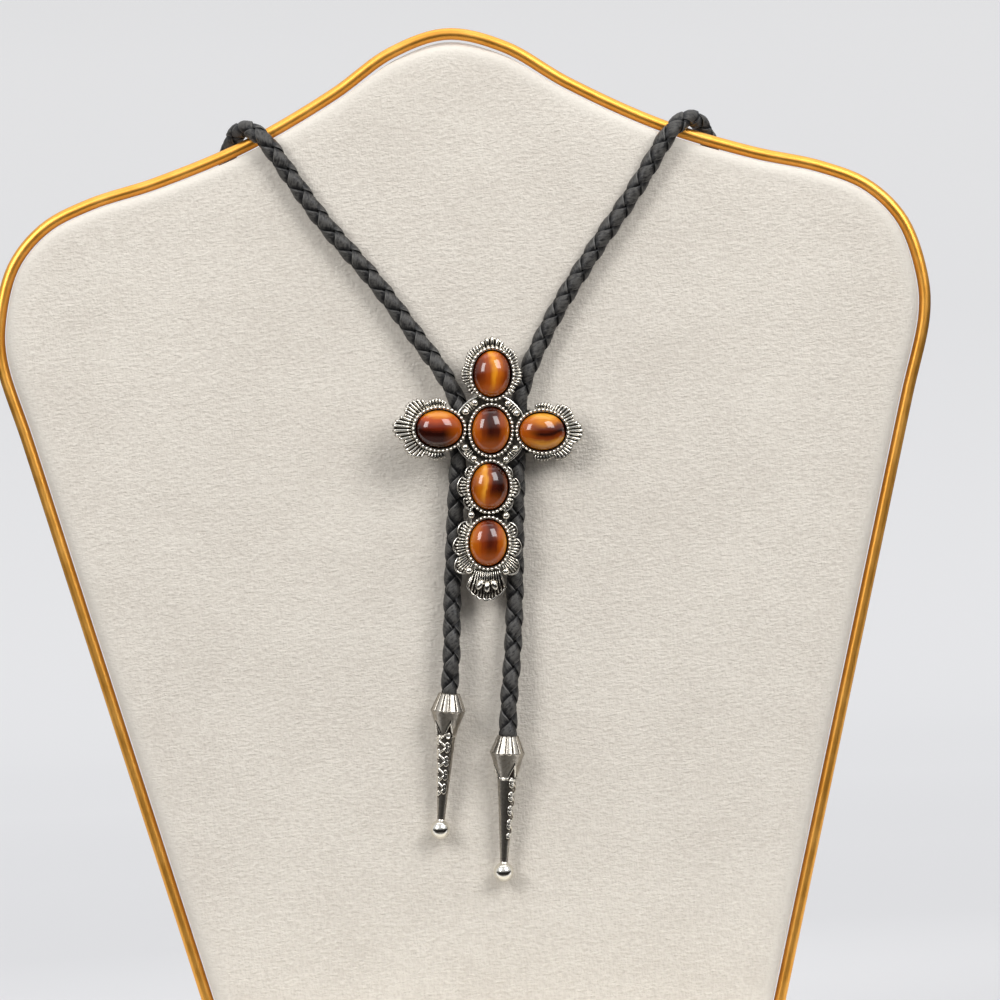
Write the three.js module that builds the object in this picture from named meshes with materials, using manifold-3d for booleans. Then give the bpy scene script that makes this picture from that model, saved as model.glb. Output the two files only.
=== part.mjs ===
// A bolo tie on its display stand, in millimetres. X is to the right, Z is up and the front faces -Y.
// The origin is on the underside of the stand's foot, below the middle of the board.

import * as THREE from "three";
import { mergeVertices } from "three/addons/utils/BufferGeometryUtils.js";
import Module from "manifold-3d";

const wasm = await Module();
wasm.setup();

// Clearance between neighbouring pieces
const gap = 0.3;

// Display stand: a padded bust-shaped board inside a rim of bent rod, on a flat foot
const rimHalfWidth = 117;
const rimHeight = 271;
const rodDiameter = 3;
const footWidth = 164;
const footDepth = 96;
const footThickness = 4;
const footCorner = 22;
const socketDepth = 2.6;
const padBack = 3.8;
const padEdgeFront = 1.2;
const padFront = 4.8;

// Braided cord, drawn here as a plain round
const cordDiameter = 4.7;
const cordSpacing = 14.8;
const cordBend = 2 * cordDiameter;

// Slide: where its middle stone sits on the board, and how it hangs
const slideAcross = 5.5;
const slideUp = 170;
const slideLean = THREE.MathUtils.degToRad(4.3);
const slideYaw = THREE.MathUtils.degToRad(7);

// Oval stones and the cups that hold them
const stoneWidth = 9.5;
const stoneLength = 11.7;
const stoneHeight = 4.4;
const cupWall = 0.7;
const cupHeight = 3.1;
const cupSpacing = 0.45;

// Cast plate with its ribbed fans, its shell, its drops and its grains
const plateThickness = 1;
const hubRadius = 9.3;
const ribHeight = 1.9;
const fanReach = 4.1;
const fanLip = 0.45;
const shellReach = 8.6;
const shellHalfWidth = 5.1;
const shellLip = 0.8;
const shellRibs = 13;
const shellLobes = 5;
const dropLength = 2.9;
const dropWidth = 1.6;
const grainDiameter = 1.6;
const hubRibWidth = 1.05;
const hubRibLength = 1.9;

// Sheet clip behind the slide, with a channel for each cord
const clipSheet = 0.8;
const clipLength = 11;
const clipLip = 1.2;

// Cast tips
const tipLength = 37;
const tipCollar = 8.9;
const tipBall = 5;
const tipFlutes = 10;
const fluteDepth = 0.35;
const scrollWire = 0.6;

// Rim centre line, as shares of the rim's half width and height, from the crown down a leg
const RIM = [
  { across: 0, up: 1 },
  { across: 0.124, up: 0.985 },
  { across: 0.253, up: 0.949 },
  { across: 0.45, up: 0.905 },
  { across: 0.645, up: 0.875 },
  { across: 0.793, up: 0.858 },
  { across: 0.893, up: 0.838 },
  { across: 0.964, up: 0.804 },
  { across: 1, up: 0.751 },
  { across: 1, up: 0.715 },
  { across: 0.953, up: 0.64 },
  { across: 0.867, up: 0.5 },
  { across: 0.621, up: 0.1 },
];

// Pad sections from its edge inwards, both columns as shares of how far the pad swells to the front
const PAD = [
  { inset: 0, front: 0 },
  { inset: 0.11, front: 0.5 },
  { inset: 0.42, front: 0.8 },
  { inset: 1.1, front: 0.94 },
  { inset: 3, front: 1 },
];

// Fans round the cups. Bearings are in degrees from the way the cup's arm points, reach is a share of
// fanReach, and a paired fan stands on both sides of the arm.
const FANS = {
  top: [
    { from: -22, to: 22, reach: 0.65, ribs: 5, paired: false },
    { from: 22, to: 70, reach: 0.5, ribs: 8, paired: true },
    { from: 70, to: 114, reach: 0.52, ribs: 7, paired: true },
    { from: 116, to: 139, reach: 0.32, ribs: 3, paired: true },
  ],
  side: [
    { from: -19, to: 19, reach: 1, ribs: 6, paired: false },
    { from: 19, to: 62, reach: 0.79, ribs: 7, paired: true },
    { from: 62, to: 106, reach: 0.45, ribs: 7, paired: true },
  ],
  stem: [
    { from: 34, to: 64, reach: 0.4, ribs: 4, paired: true },
    { from: 69, to: 109, reach: 0.55, ribs: 6, paired: true },
    { from: 114, to: 138, reach: 0.28, ribs: 3, paired: true },
  ],
  foot: [
    { from: 33, to: 62, reach: 1.08, ribs: 7, paired: true },
    { from: 65, to: 100, reach: 0.74, ribs: 6, paired: true },
    { from: 103, to: 134, reach: 0.61, ribs: 5, paired: true },
  ],
};

// Grains: the cup they stand by, and their place as shares of the hub's radius from that cup's middle
const GRAINS = [
  { cup: "centre", across: 0.446, up: 0.737 },
  { cup: "centre", across: 0.688, up: 0.48 },
  { cup: "centre", across: 0.683, up: -0.47 },
  { cup: "centre", across: 0.43, up: -0.774 },
  { cup: "stem", across: 0.468, up: -0.769 },
  { cup: "foot", across: 0.495, up: -0.753 },
];

// Bearings of the flat ribs between the arms, in degrees from the horizontal arm
const HUB_RIBS = [33, 42, 51, 60];

// Drops on the shell: across and down as shares of the shell's reach below the cup, lean in degrees
const DROPS = [
  { across: -0.21, down: 0.5, lean: -25 },
  { across: 0, down: 0.56, lean: 0 },
  { across: 0.21, down: 0.5, lean: 25 },
];

// A tip's profile: down as a share of its length, wide as a share of its collar's radius
const TIP = [
  { down: 0, wide: 0.6 },
  { down: 0.118, wide: 1 },
  { down: 0.13, wide: 0.97 },
  { down: 0.28, wide: 0.56 },
  { down: 0.43, wide: 0.47 },
  { down: 0.7, wide: 0.33 },
  { down: 0.86, wide: 0.25 },
];

// Scrolls on a tip's stem: each is a run of points, down in shares of the length and round in degrees
const SCROLLS = [
  [[0.3, -10], [0.31, 35], [0.345, 50], [0.38, 25], [0.36, 5]],
  [[0.345, -45], [0.38, -55], [0.42, -35], [0.415, 0], [0.45, 30]],
  [[0.43, 55], [0.47, 60], [0.51, 35], [0.505, -5], [0.54, -35]],
  [[0.52, -60], [0.56, -60], [0.6, -30], [0.595, 5], [0.63, 35]],
  [[0.61, 60], [0.65, 45], [0.68, 5], [0.67, -25]],
];

// The cord's route, from the left tip to the right one, in stretches between its bends over the rim
const CORD_LEFT = [
  [-8.07, -9.87, 104.8],
  [-7.1, -10.3, 113],
  [-6.5, -9.6, 122],
  [-5.7, -8.6, 133],
  [-4.6, -8.6, 145],
  [-3.5, -9.8, 156],
  [-2.57, -10.33, 165],
  [-1.8, -10.33, 176],
  [-4.8, -9.7, 183.8],
  [-11, -8.1, 193.6],
  [-21.1, -7.45, 208.7],
  [-33.6, -7.45, 224.8],
  [-40.4, -7.45, 235.3],
];
const CORD_BACK = [
  [-58.2, 6.45, 225],
  [-58.5, 6.45, 195],
  [-58, 6.45, 150],
  [-55.5, 6.45, 105],
  [-47, 6.45, 70],
  [-28, 6.45, 44.5],
  [4, 6.45, 33],
  [36, 6.45, 44.5],
  [55, 6.45, 70],
  [63.5, 6.45, 105],
  [66.5, 6.45, 150],
  [67.2, 6.45, 195],
  [66.6, 6.45, 223],
];
const CORD_RIGHT = [
  [47.9, -7.45, 232.6],
  [43.2, -7.45, 225.9],
  [35.8, -7.45, 216.2],
  [25.4, -7.45, 201.5],
  [19.3, -7.6, 191.3],
  [14.8, -8.2, 182],
  [12.93, -8.52, 175],
  [12.1, -8.52, 164],
  [11.2, -8.1, 151],
  [10.3, -7.8, 138],
  [9.5, -8.1, 126],
  [8.4, -9.1, 114],
  [6.8, -10.3, 101.6],
  [6.12, -9.87, 93.4],
];

// Bends over the rim, from the front to the back: their first point, and the ways in, over and down
const BEND_LEFT = {
  start: [-45.4, -7.45, 243.4],
  ways: [[-0.53, 0, 0.85], [-0.47, 0.88, 0], [-0.1, 0, -1]],
};
const BEND_RIGHT = {
  start: [53.1, -7.45, 240.5],
  ways: [[0.56, 0, 0.83], [0.47, 0.88, 0], [0.1, 0, -1]],
};

// How finely round things are drawn
const rodSides = 8;
const rimSteps = 84;
const cordSides = 8;
const cordSteps = 80;
const bendSteps = 4;
const bendShare = 0.3;
const ovalSides = 20;
const hubSides = 32;
const cornerSteps = 6;
const tipSides = 20;

const DEGREE = Math.PI / 180;

function finish(colour, metalness, roughness) {
  return new THREE.MeshStandardMaterial({ color: colour, metalness, roughness });
}
const finishes = {
  gold: finish(0xd9a441, 1, 0.25),
  ivory: finish(0xdfdacf, 0, 0.5),
  velvet: finish(0xd3cdc1, 0, 0.95),
  leather: finish(0x2b2b2e, 0, 0.55),
  silver: finish(0xc9c4bb, 1, 0.3),
  stone: finish(0x8a3f12, 0, 0.15),
};

function part(name, geometry, material) {
  const mesh = new THREE.Mesh(geometry, material);
  mesh.name = name;
  return mesh;
}

// A closed mesh with shared corners and its faces turned outwards
function closed(geometry) {
  const bare = geometry.clone();
  bare.deleteAttribute("normal");
  bare.deleteAttribute("uv");
  const merged = mergeVertices(bare, 1e-4);
  const corners = merged.attributes.position;
  const index = merged.index.array;
  const [a, b, c] = [new THREE.Vector3(), new THREE.Vector3(), new THREE.Vector3()];
  let volume = 0;
  for (let i = 0; i < index.length; i += 3) {
    a.fromBufferAttribute(corners, index[i]);
    b.fromBufferAttribute(corners, index[i + 1]);
    c.fromBufferAttribute(corners, index[i + 2]);
    volume += a.dot(b.cross(c));
  }
  if (volume < 0) {
    for (let i = 0; i < index.length; i += 3) {
      [index[i], index[i + 1]] = [index[i + 1], index[i]];
    }
  }
  return merged;
}

function solid(geometry) {
  const shape = closed(geometry);
  const vertProperties = new Float32Array(shape.attributes.position.array);
  const triVerts = new Uint32Array(shape.index.array);
  return new wasm.Manifold(new wasm.Mesh({ numProp: 3, vertProperties, triVerts }));
}

function surface(manifold) {
  const mesh = manifold.getMesh();
  return new THREE.BufferGeometry()
    .setAttribute("position", new THREE.BufferAttribute(mesh.vertProperties, 3))
    .setIndex(new THREE.BufferAttribute(mesh.triVerts, 1));
}

function join(geometries) {
  return geometries.map(solid).reduce((all, one) => all.add(one));
}

// Rings of points with the same count, joined into one closed skin. flat drops a point to 2D for the caps.
function loft(rings, flat) {
  const count = rings[0].length;
  const index = [];
  for (let r = 0; r + 1 < rings.length; r++) {
    for (let i = 0; i < count; i++) {
      const [a, b] = [r * count + i, r * count + ((i + 1) % count)];
      index.push(a, b, a + count, b, b + count, a + count);
    }
  }
  for (const r of [0, rings.length - 1]) {
    const outline = rings[r].map(flat);
    const direction = Math.sign(THREE.ShapeUtils.area(outline)) * (r ? 1 : -1);
    for (const corners of THREE.ShapeUtils.triangulateShape(outline, [])) {
      const turn = Math.sign(THREE.ShapeUtils.area(corners.map((corner) => outline[corner])));
      const [a, b, c] = corners.map((corner) => r * count + corner);
      index.push(...(turn === direction ? [a, b, c] : [b, a, c]));
    }
  }
  return new THREE.BufferGeometry().setFromPoints(rings.flat()).setIndex(index);
}

function circle(radius, sides) {
  return Array.from({ length: sides }, (_, i) => {
    const turn = ((i + 0.5) * 2 * Math.PI) / sides;
    return new THREE.Vector2(radius * Math.cos(turn), radius * Math.sin(turn));
  });
}

function tube(path, radius, sides, steps) {
  const section = new THREE.Shape(circle(radius, sides));
  return new THREE.ExtrudeGeometry(section, { steps, extrudePath: path });
}

// The rim's centre line, from one leg's end in the foot over the crown to the other
function rimCurve() {
  const half = RIM.map(({ across, up }) => new THREE.Vector3(across * rimHalfWidth, 0, up * rimHeight));
  const [high, low] = half.slice(-2);
  const end = footThickness - socketDepth;
  half.push(high.clone().lerp(low, (high.z - end) / (high.z - low.z)));
  const mirrored = half.slice(1).map((p) => new THREE.Vector3(-p.x, p.y, p.z));
  return new THREE.CatmullRomCurve3([...mirrored.reverse(), ...half], false, "centripetal");
}
const rim = rimCurve();

function rimRod() {
  return part("rim_rod", closed(tube(rim, rodDiameter / 2, rodSides, rimSteps)), finishes.gold);
}

// Outline of the pad, inset from the rim's centre line, with a level lower edge above the foot
function padOutline(inset) {
  const legSteps = 4;
  const floor = footThickness + gap + inset - rodDiameter / 2;
  const points = rim.getSpacedPoints(rimSteps).map((point, i) => {
    const along = rim.getTangentAt(i / rimSteps);
    return new THREE.Vector2(point.x + along.z * inset, point.z - along.x * inset);
  });
  const inner = points.slice(legSteps, -legSteps);
  const legs = [[points[0], inner[0]], [points.at(-1), inner.at(-1)]];
  const ends = legs.map(([low, high]) => low.clone().lerp(high, (floor - low.y) / (high.y - low.y)));
  return [ends[0], ...inner, ends[1]];
}

function displayPad() {
  const edge = rodDiameter / 2 + gap;
  const depth = padFront - padEdgeFront;
  const sections = PAD.map(({ inset, front }) => ({
    outline: padOutline(edge + inset * depth),
    y: -padEdgeFront - front * depth,
  }));
  sections.unshift({ outline: sections[0].outline, y: padBack });
  const rings = sections.map(({ outline, y }) => outline.map((p) => new THREE.Vector3(p.x, y, p.y)));
  return part("display_pad", closed(loft(rings, (p) => new THREE.Vector2(p.x, p.z))), finishes.velvet);
}

function roundedPlate(width, depth, corner, thickness) {
  const [x, y] = [width / 2 - corner, depth / 2 - corner];
  const outline = new THREE.Shape();
  outline.absarc(x, y, corner, 0, Math.PI / 2);
  outline.absarc(-x, y, corner, Math.PI / 2, Math.PI);
  outline.absarc(-x, -y, corner, Math.PI, 1.5 * Math.PI);
  outline.absarc(x, -y, corner, 1.5 * Math.PI, 2 * Math.PI);
  return new THREE.ExtrudeGeometry(outline,
    { depth: thickness, bevelEnabled: false, curveSegments: cornerSteps });
}

// The foot, with a socket for each end of the rod
function standFoot() {
  const ends = [[rim.getPoint(0), rim.getTangent(0)], [rim.getPoint(1), rim.getTangent(1).negate()]];
  const plate = solid(roundedPlate(footWidth, footDepth, footCorner, footThickness));
  const foot = ends.reduce((body, [end, upwards]) => {
    const low = end.clone().addScaledVector(upwards, -gap);
    const high = end.clone().addScaledVector(upwards, 2 * footThickness);
    return body.subtract(solid(tube(new THREE.LineCurve3(low, high), rodDiameter / 2 + gap, rodSides, 1)));
  }, plate);
  return part("stand_foot", surface(foot), finishes.ivory);
}

// A smooth curve whose steps are closer together where it bends
class PacedCurve extends THREE.Curve {
  constructor(curve, samples) {
    super();
    this.curve = curve;
    const tangents = Array.from({ length: samples + 1 }, (_, i) => curve.getTangentAt(i / samples));
    const turned = tangents.map((tangent, i) => (i ? tangent.angleTo(tangents[i - 1]) : 0));
    const total = turned.reduce((sum, angle) => sum + angle);
    let soFar = 0;
    this.reached = turned.map((angle, i) => {
      soFar += angle;
      return ((1 - bendShare) * i) / samples + (bendShare * soFar) / total;
    });
  }
  pace(u) {
    const i = this.reached.findIndex((reached) => reached >= u);
    if (i < 1) return i < 0 ? 1 : 0;
    const share = (u - this.reached[i - 1]) / (this.reached[i] - this.reached[i - 1]);
    return (i - 1 + share) / (this.reached.length - 1);
  }
  getPointAt(u, point) {
    return this.curve.getPointAt(this.pace(u), point);
  }
  getTangentAt(u, tangent) {
    return this.curve.getTangentAt(this.pace(u), tangent);
  }
}

// Points along arcs of the cord's smallest bend, one arc between each way and the next
function bendPoints({ start, ways }) {
  const headings = ways.map((way) => new THREE.Vector3(...way).normalize());
  const points = [new THREE.Vector3(...start)];
  for (let w = 0; w + 1 < headings.length; w++) {
    const [way, next, from] = [headings[w], headings[w + 1], points.at(-1)];
    const turn = way.angleTo(next);
    const inwards = next.clone().addScaledVector(way, -Math.cos(turn)).normalize();
    for (let i = 1; i <= bendSteps; i++) {
      const angle = (turn * i) / bendSteps;
      points.push(from.clone().addScaledVector(way, cordBend * Math.sin(angle))
        .addScaledVector(inwards, cordBend * (1 - Math.cos(angle))));
    }
  }
  return points;
}

const [leftRun, backRun, rightRun] = [CORD_LEFT, CORD_BACK, CORD_RIGHT].map((run) =>
  run.map((p) => new THREE.Vector3(...p)));
const route = [
  ...leftRun,
  ...bendPoints(BEND_LEFT),
  ...backRun,
  ...bendPoints(BEND_RIGHT).reverse(),
  ...rightRun,
];

function cord() {
  const curve = new THREE.CatmullRomCurve3(route, false, "centripetal");
  const samples = 20 * cordSteps;
  curve.arcLengthDivisions = samples;
  const path = new PacedCurve(curve, samples);
  return part("cord", closed(tube(path, cordDiameter / 2, cordSides, cordSteps)), finishes.leather);
}

function slab(outline, hole, thickness) {
  const shape = new THREE.Shape(outline);
  if (hole) shape.holes.push(new THREE.Path(hole));
  return new THREE.ExtrudeGeometry(shape, { depth: thickness, bevelEnabled: false });
}

// Cups on the cross: their middle, the way their arm points, and whether the stone lies across
const cupHalf = { wide: stoneWidth / 2 + gap + cupWall, long: stoneLength / 2 + gap + cupWall };
const stepUp = 2 * cupHalf.long + cupSpacing;
const stepAcross = cupHalf.wide + cupHalf.long + cupSpacing;
const CUPS = {
  centre: { x: 0, y: 0, points: 90, across: false, fans: [] },
  top: { x: 0, y: stepUp, points: 90, across: false, fans: FANS.top },
  right: { x: stepAcross, y: 0, points: 0, across: true, fans: FANS.side },
  left: { x: -stepAcross, y: 0, points: 180, across: true, fans: FANS.side },
  stem: { x: 0, y: -stepUp, points: -90, across: false, fans: FANS.stem },
  foot: { x: 0, y: -2 * stepUp, points: -90, across: false, fans: FANS.foot },
};

function cupOval(cup, inset) {
  const [wide, long] = [cupHalf.wide - inset, cupHalf.long - inset];
  const [a, b] = cup.across ? [long, wide] : [wide, long];
  return circle(1, ovalSides).map((p) => new THREE.Vector2(p.x * a, p.y * b));
}

function cupSolids(cup) {
  const floor = slab(cupOval(cup, 0), null, plateThickness);
  const wall = slab(cupOval(cup, 0), cupOval(cup, cupWall), cupHeight);
  return [floor, wall].map((piece) => piece.translate(cup.x, cup.y, 0));
}

function cupRadius(cup, bearing) {
  const [a, b] = cup.across ? [cupHalf.long, cupHalf.wide] : [cupHalf.wide, cupHalf.long];
  return 1 / Math.hypot(Math.cos(bearing) / a, Math.sin(bearing) / b);
}

// One fan: ribs side by side, each a crest between two valleys, that reach furthest in the fan's middle
function fanSolid(cup, { from, to, reach, ribs }, side) {
  const spread = to - from + 1;
  const rings = [];
  for (let i = 0; i <= 2 * ribs; i++) {
    const share = i / (2 * ribs);
    const crest = i % 2 === 1;
    const bearing = (cup.points + side * (from - 0.5 + spread * share)) * DEGREE;
    const inner = cupRadius(cup, bearing) - cupWall / 2;
    const bulge = 0.6 + 0.4 * Math.sin(Math.PI * share);
    const outer = cupRadius(cup, bearing) + reach * fanReach * bulge - (crest ? 0 : fanLip / 2);
    const height = crest ? ribHeight : plateThickness;
    const section = [
      [inner, 0],
      [outer, 0],
      [outer, 0.7 * plateThickness],
      [outer - fanLip, crest ? 0.9 * height : height],
      [inner, height],
    ];
    rings.push(section.map(([radius, up]) => new THREE.Vector3(
      cup.x + radius * Math.cos(bearing), cup.y + radius * Math.sin(bearing), up)));
  }
  const middle = (cup.points + (side * (from + to)) / 2) * DEGREE;
  const out = new THREE.Vector3(Math.cos(middle), Math.sin(middle), 0);
  return loft(rings, (p) => new THREE.Vector2(p.dot(out), p.z));
}

function cupFans(cup) {
  return cup.fans.flatMap((fan) => (fan.paired ? [1, -1] : [1]).map((side) => fanSolid(cup, fan, side)));
}

// The shell below the last cup: parallel-sided ribs that spread downwards, and a plain lip cut in lobes
const shellTop = CUPS.foot.y - cupHalf.long + cupWall;

function shellSolid() {
  const rings = [];
  for (let i = 0; i <= 2 * shellRibs; i++) {
    const turn = i / shellRibs - 1;
    const lobe = Math.abs(Math.cos((turn * shellLobes * Math.PI) / 2));
    const reach = shellReach * (1 - 0.4 * turn * turn) - (1 - lobe) * shellLip / 2;
    const ribbed = 1 - shellLip / reach;
    const height = i % 2 ? ribHeight : plateThickness;
    const place = (share, up) => new THREE.Vector3(
      turn * shellHalfWidth * (0.6 + 0.4 * share), shellTop - share * reach, up);
    rings.push([place(0, 0), place(1, 0), place(1, 0.8 * plateThickness),
      place(ribbed, 0.8 * plateThickness), place(ribbed - 0.03, height), place(0, height)]);
  }
  return loft(rings, (p) => new THREE.Vector2(p.y, p.z));
}

function grain(width, length) {
  return new THREE.SphereGeometry(0.5, 8, 6).rotateX(Math.PI / 2).scale(width, length, width);
}

function dropSolids() {
  return DROPS.map(({ across, down, lean }) => grain(dropWidth, dropLength)
    .rotateZ(lean * DEGREE)
    .translate(across * shellReach, shellTop - down * shellReach, ribHeight));
}

function grainSolids() {
  const height = (plateThickness + ribHeight) / 2;
  return GRAINS.flatMap(({ cup, across, up }) => [1, -1].map((side) => grain(grainDiameter, grainDiameter)
    .translate(CUPS[cup].x + side * across * hubRadius, CUPS[cup].y + up * hubRadius, height)));
}

// Flat ribs across the hub's edge in the four corners between the arms
function hubRibSolids() {
  const bearings = HUB_RIBS.flatMap((bearing) => [bearing, -bearing, 180 - bearing, 180 + bearing]);
  return bearings.map((bearing) => new THREE.BoxGeometry(hubRibLength, hubRibWidth, ribHeight)
    .translate(hubRadius - hubRibLength / 2, 0, ribHeight / 2)
    .rotateZ(bearing * DEGREE));
}

// A bar that joins the two lower cups, where they leave a waist
function waistSolid() {
  return new THREE.BoxGeometry(1.6 * cupHalf.wide, stepUp / 2, plateThickness)
    .translate(0, (CUPS.stem.y + CUPS.foot.y) / 2, plateThickness / 2);
}

function slide() {
  const hub = slab(circle(hubRadius, hubSides), null, plateThickness);
  const cups = Object.values(CUPS);
  const body = join([hub, waistSolid(), ...cups.flatMap(cupSolids), ...cups.flatMap(cupFans),
    ...hubRibSolids(), shellSolid(), ...dropSolids(), ...grainSolids()]);
  return part("slide", surface(body), finishes.silver);
}

// Domed oval stones, each standing on the floor of its cup
function stone(name, cup) {
  const profile = [[0, 0], [1, 0], [1, 0.2], [0.95, 0.45], [0.78, 0.73], [0.45, 0.93], [0, 1]];
  const points = profile.map(([wide, up]) => new THREE.Vector2(wide / 2, up * stoneHeight));
  const dome = new THREE.LatheGeometry(points, ovalSides).rotateY(Math.PI / ovalSides).rotateX(Math.PI / 2);
  const [wide, long] = cup.across ? [stoneLength, stoneWidth] : [stoneWidth, stoneLength];
  dome.scale(wide, long, 1).translate(cup.x, cup.y, plateThickness + gap);
  return part("stone_" + name, closed(dome), finishes.stone);
}

function arc(x, y, radius, from, to) {
  return Array.from({ length: cornerSteps + 1 }, (_, i) => {
    const turn = from + ((to - from) * i) / cornerSteps;
    return new THREE.Vector2(x + radius * Math.cos(turn), y + radius * Math.sin(turn));
  });
}

// Sheet clip: flat behind the slide between the cords, and curled round the back of each
function cordClip() {
  const inner = cordDiameter / 2 + gap;
  const outer = inner + clipSheet;
  const middle = cordSpacing / 2;
  const [front, back, lipEnd] = [-gap, -gap - clipSheet, middle + outer + clipLip];
  const right = [
    ...arc(middle, front - cordDiameter / 2, outer, Math.PI, 2 * Math.PI),
    new THREE.Vector2(middle + outer, back),
    new THREE.Vector2(lipEnd, back),
    new THREE.Vector2(lipEnd, front),
    new THREE.Vector2(middle + inner, front),
    ...arc(middle, front - cordDiameter / 2, inner, 2 * Math.PI, Math.PI),
    new THREE.Vector2(middle - inner, front),
  ];
  right.unshift(new THREE.Vector2(middle - outer, back));
  const left = right.map((p) => new THREE.Vector2(-p.x, p.y)).reverse();
  const body = slab([...right, ...left], null, clipLength);
  body.translate(0, 0, -clipLength / 2).rotateX(Math.PI / 2);
  return part("cord_clip", closed(body), finishes.silver);
}

function slideGroup() {
  const facing = new THREE.Group();
  facing.rotation.x = Math.PI / 2;
  facing.add(slide(), cordClip());
  for (const [name, cup] of Object.entries(CUPS)) facing.add(stone(name, cup));
  const turned = new THREE.Group();
  turned.rotation.z = slideYaw;
  turned.add(facing);
  const clipDepth = cordDiameter + 2 * gap + clipSheet;
  const nearest = (cordSpacing / 2) * Math.sin(slideYaw) + clipDepth * Math.cos(slideYaw);
  const group = new THREE.Group();
  group.rotation.y = slideLean;
  group.position.set(slideAcross, -(padFront + gap + nearest), slideUp);
  group.add(turned);
  return group;
}

// A tip's radius, at a share of its length
function tipRadius(down) {
  const i = Math.max(TIP.findIndex((row) => row.down >= down), 1);
  const [above, below] = [TIP[i - 1], TIP[i]];
  const share = (down - above.down) / (below.down - above.down);
  return (tipCollar / 2) * (above.wide + (below.wide - above.wide) * share);
}

// The turned body, its axis along Y and its open end up, with flutes from the top edge to the collar
function tipBody() {
  const neck = Math.asin(tipRadius(TIP.at(-1).down) / (tipBall / 2));
  const ball = arc(0, tipBall / 2 - tipLength, tipBall / 2, Math.PI / 2 - neck, -Math.PI / 2);
  ball.at(-1).x = 0;
  const stem = TIP.map(({ down, wide }) => new THREE.Vector2((wide * tipCollar) / 2, -down * tipLength));
  const lathe = new THREE.LatheGeometry([new THREE.Vector2(0, 0), ...stem, ...ball], tipSides);
  const points = lathe.attributes.position;
  for (let i = 0; i < points.count; i++) {
    const round = Math.atan2(points.getX(i), points.getZ(i));
    const depth = points.getY(i) > -TIP[2].down * tipLength + gap ? fluteDepth : 0;
    const scale = 1 - (depth * (1 + Math.cos(tipFlutes * round))) / tipCollar;
    points.setX(i, points.getX(i) * scale);
    points.setZ(i, points.getZ(i) * scale);
  }
  return lathe;
}

function scrollSolids(facing) {
  return SCROLLS.map((run) => {
    const points = run.map(([down, round]) => {
      const bearing = (facing + round) * DEGREE;
      const radius = tipRadius(down);
      return new THREE.Vector3(radius * Math.sin(bearing), -down * tipLength, radius * Math.cos(bearing));
    });
    return tube(new THREE.CatmullRomCurve3(points), scrollWire / 2, 4, 2 * run.length);
  });
}

// A tip below one end of the cord, its relief turned from the front by facing
function tip(name, end, next, facing) {
  const upwards = next.clone().sub(end).normalize();
  const body = surface(join([tipBody(), ...scrollSolids(facing)]));
  body.applyQuaternion(new THREE.Quaternion().setFromUnitVectors(new THREE.Vector3(0, 1, 0), upwards));
  const top = end.clone().addScaledVector(upwards, -gap);
  return part(name, body.translate(top.x, top.y, top.z), finishes.silver);
}

const boloTie = new THREE.Group();
boloTie.add(rimRod(), displayPad(), standFoot(), cord(), slideGroup());
boloTie.add(tip("tip_left", route[0], route[1], -15));
boloTie.add(tip("tip_right", route.at(-1), route.at(-2), 75));

export default boloTie;
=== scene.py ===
# %% [markdown]
# # A bolo tie on a velvet display board
# The tie is a braided leather cord with two cast tips. It runs through a cross-shaped slide with six
# polished stones and hangs over a bust-shaped board. The measured frame comes first, because every piece
# takes its place from it. Sizes are in millimetres and are turned to metres only when a mesh is made.

# %% Load the frame and keep its box
import math

import bpy
import numpy as np
from mathutils import Matrix, Vector


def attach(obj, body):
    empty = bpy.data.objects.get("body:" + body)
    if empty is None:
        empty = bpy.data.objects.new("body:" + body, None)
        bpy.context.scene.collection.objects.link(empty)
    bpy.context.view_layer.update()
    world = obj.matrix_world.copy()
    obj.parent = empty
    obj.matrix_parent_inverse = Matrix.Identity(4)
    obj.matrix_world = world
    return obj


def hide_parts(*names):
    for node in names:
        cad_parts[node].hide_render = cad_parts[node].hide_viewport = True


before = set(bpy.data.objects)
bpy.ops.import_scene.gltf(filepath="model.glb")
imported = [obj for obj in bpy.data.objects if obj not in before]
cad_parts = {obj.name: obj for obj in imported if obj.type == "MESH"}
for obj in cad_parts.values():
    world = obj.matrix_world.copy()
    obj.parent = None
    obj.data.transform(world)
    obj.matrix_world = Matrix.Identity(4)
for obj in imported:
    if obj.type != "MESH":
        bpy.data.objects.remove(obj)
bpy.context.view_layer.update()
MM = 0.001

# %% [markdown]
# ## Small helpers
# A mesh made from arrays of points gives full control of where each rib and strand lies. Each point can
# also carry a number called relief: 0 in the bottom of a groove and 1 on a crest. Materials read it to
# darken what polishing never reaches on the silver. On the leather it gives painted shade in the grooves
# and a painted highlight on one edge of each lace.


# %% Helpers for meshes
def new_object(name, points, faces, material):
    """A smooth mesh object from points in millimetres."""
    mesh = bpy.data.meshes.new(name)
    mesh.from_pydata((np.asarray(points, float) * MM).tolist(), [], faces)
    mesh.polygons.foreach_set("use_smooth", [True] * len(mesh.polygons))
    mesh.materials.append(material)
    made = bpy.data.objects.new(name, mesh)
    bpy.context.scene.collection.objects.link(made)
    return made


def piece(name, heap, material, relief=None, place=None, spots=None):
    """An object made from a heap of shapes, riding on the stand."""
    made = new_object(name, heap.points, heap.faces, material)
    if relief is not None:
        layer = made.data.attributes.new("relief", "FLOAT", "POINT")
        layer.data.foreach_set("value", np.clip(np.asarray(relief, float), 0, 1))
    if spots is not None:
        layer = made.data.attributes.new("spots", "FLOAT_VECTOR", "POINT")
        layer.data.foreach_set("vector", spots.ravel())
    if place is not None:
        made.matrix_world = place
    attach(made, "root")
    return made


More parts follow.
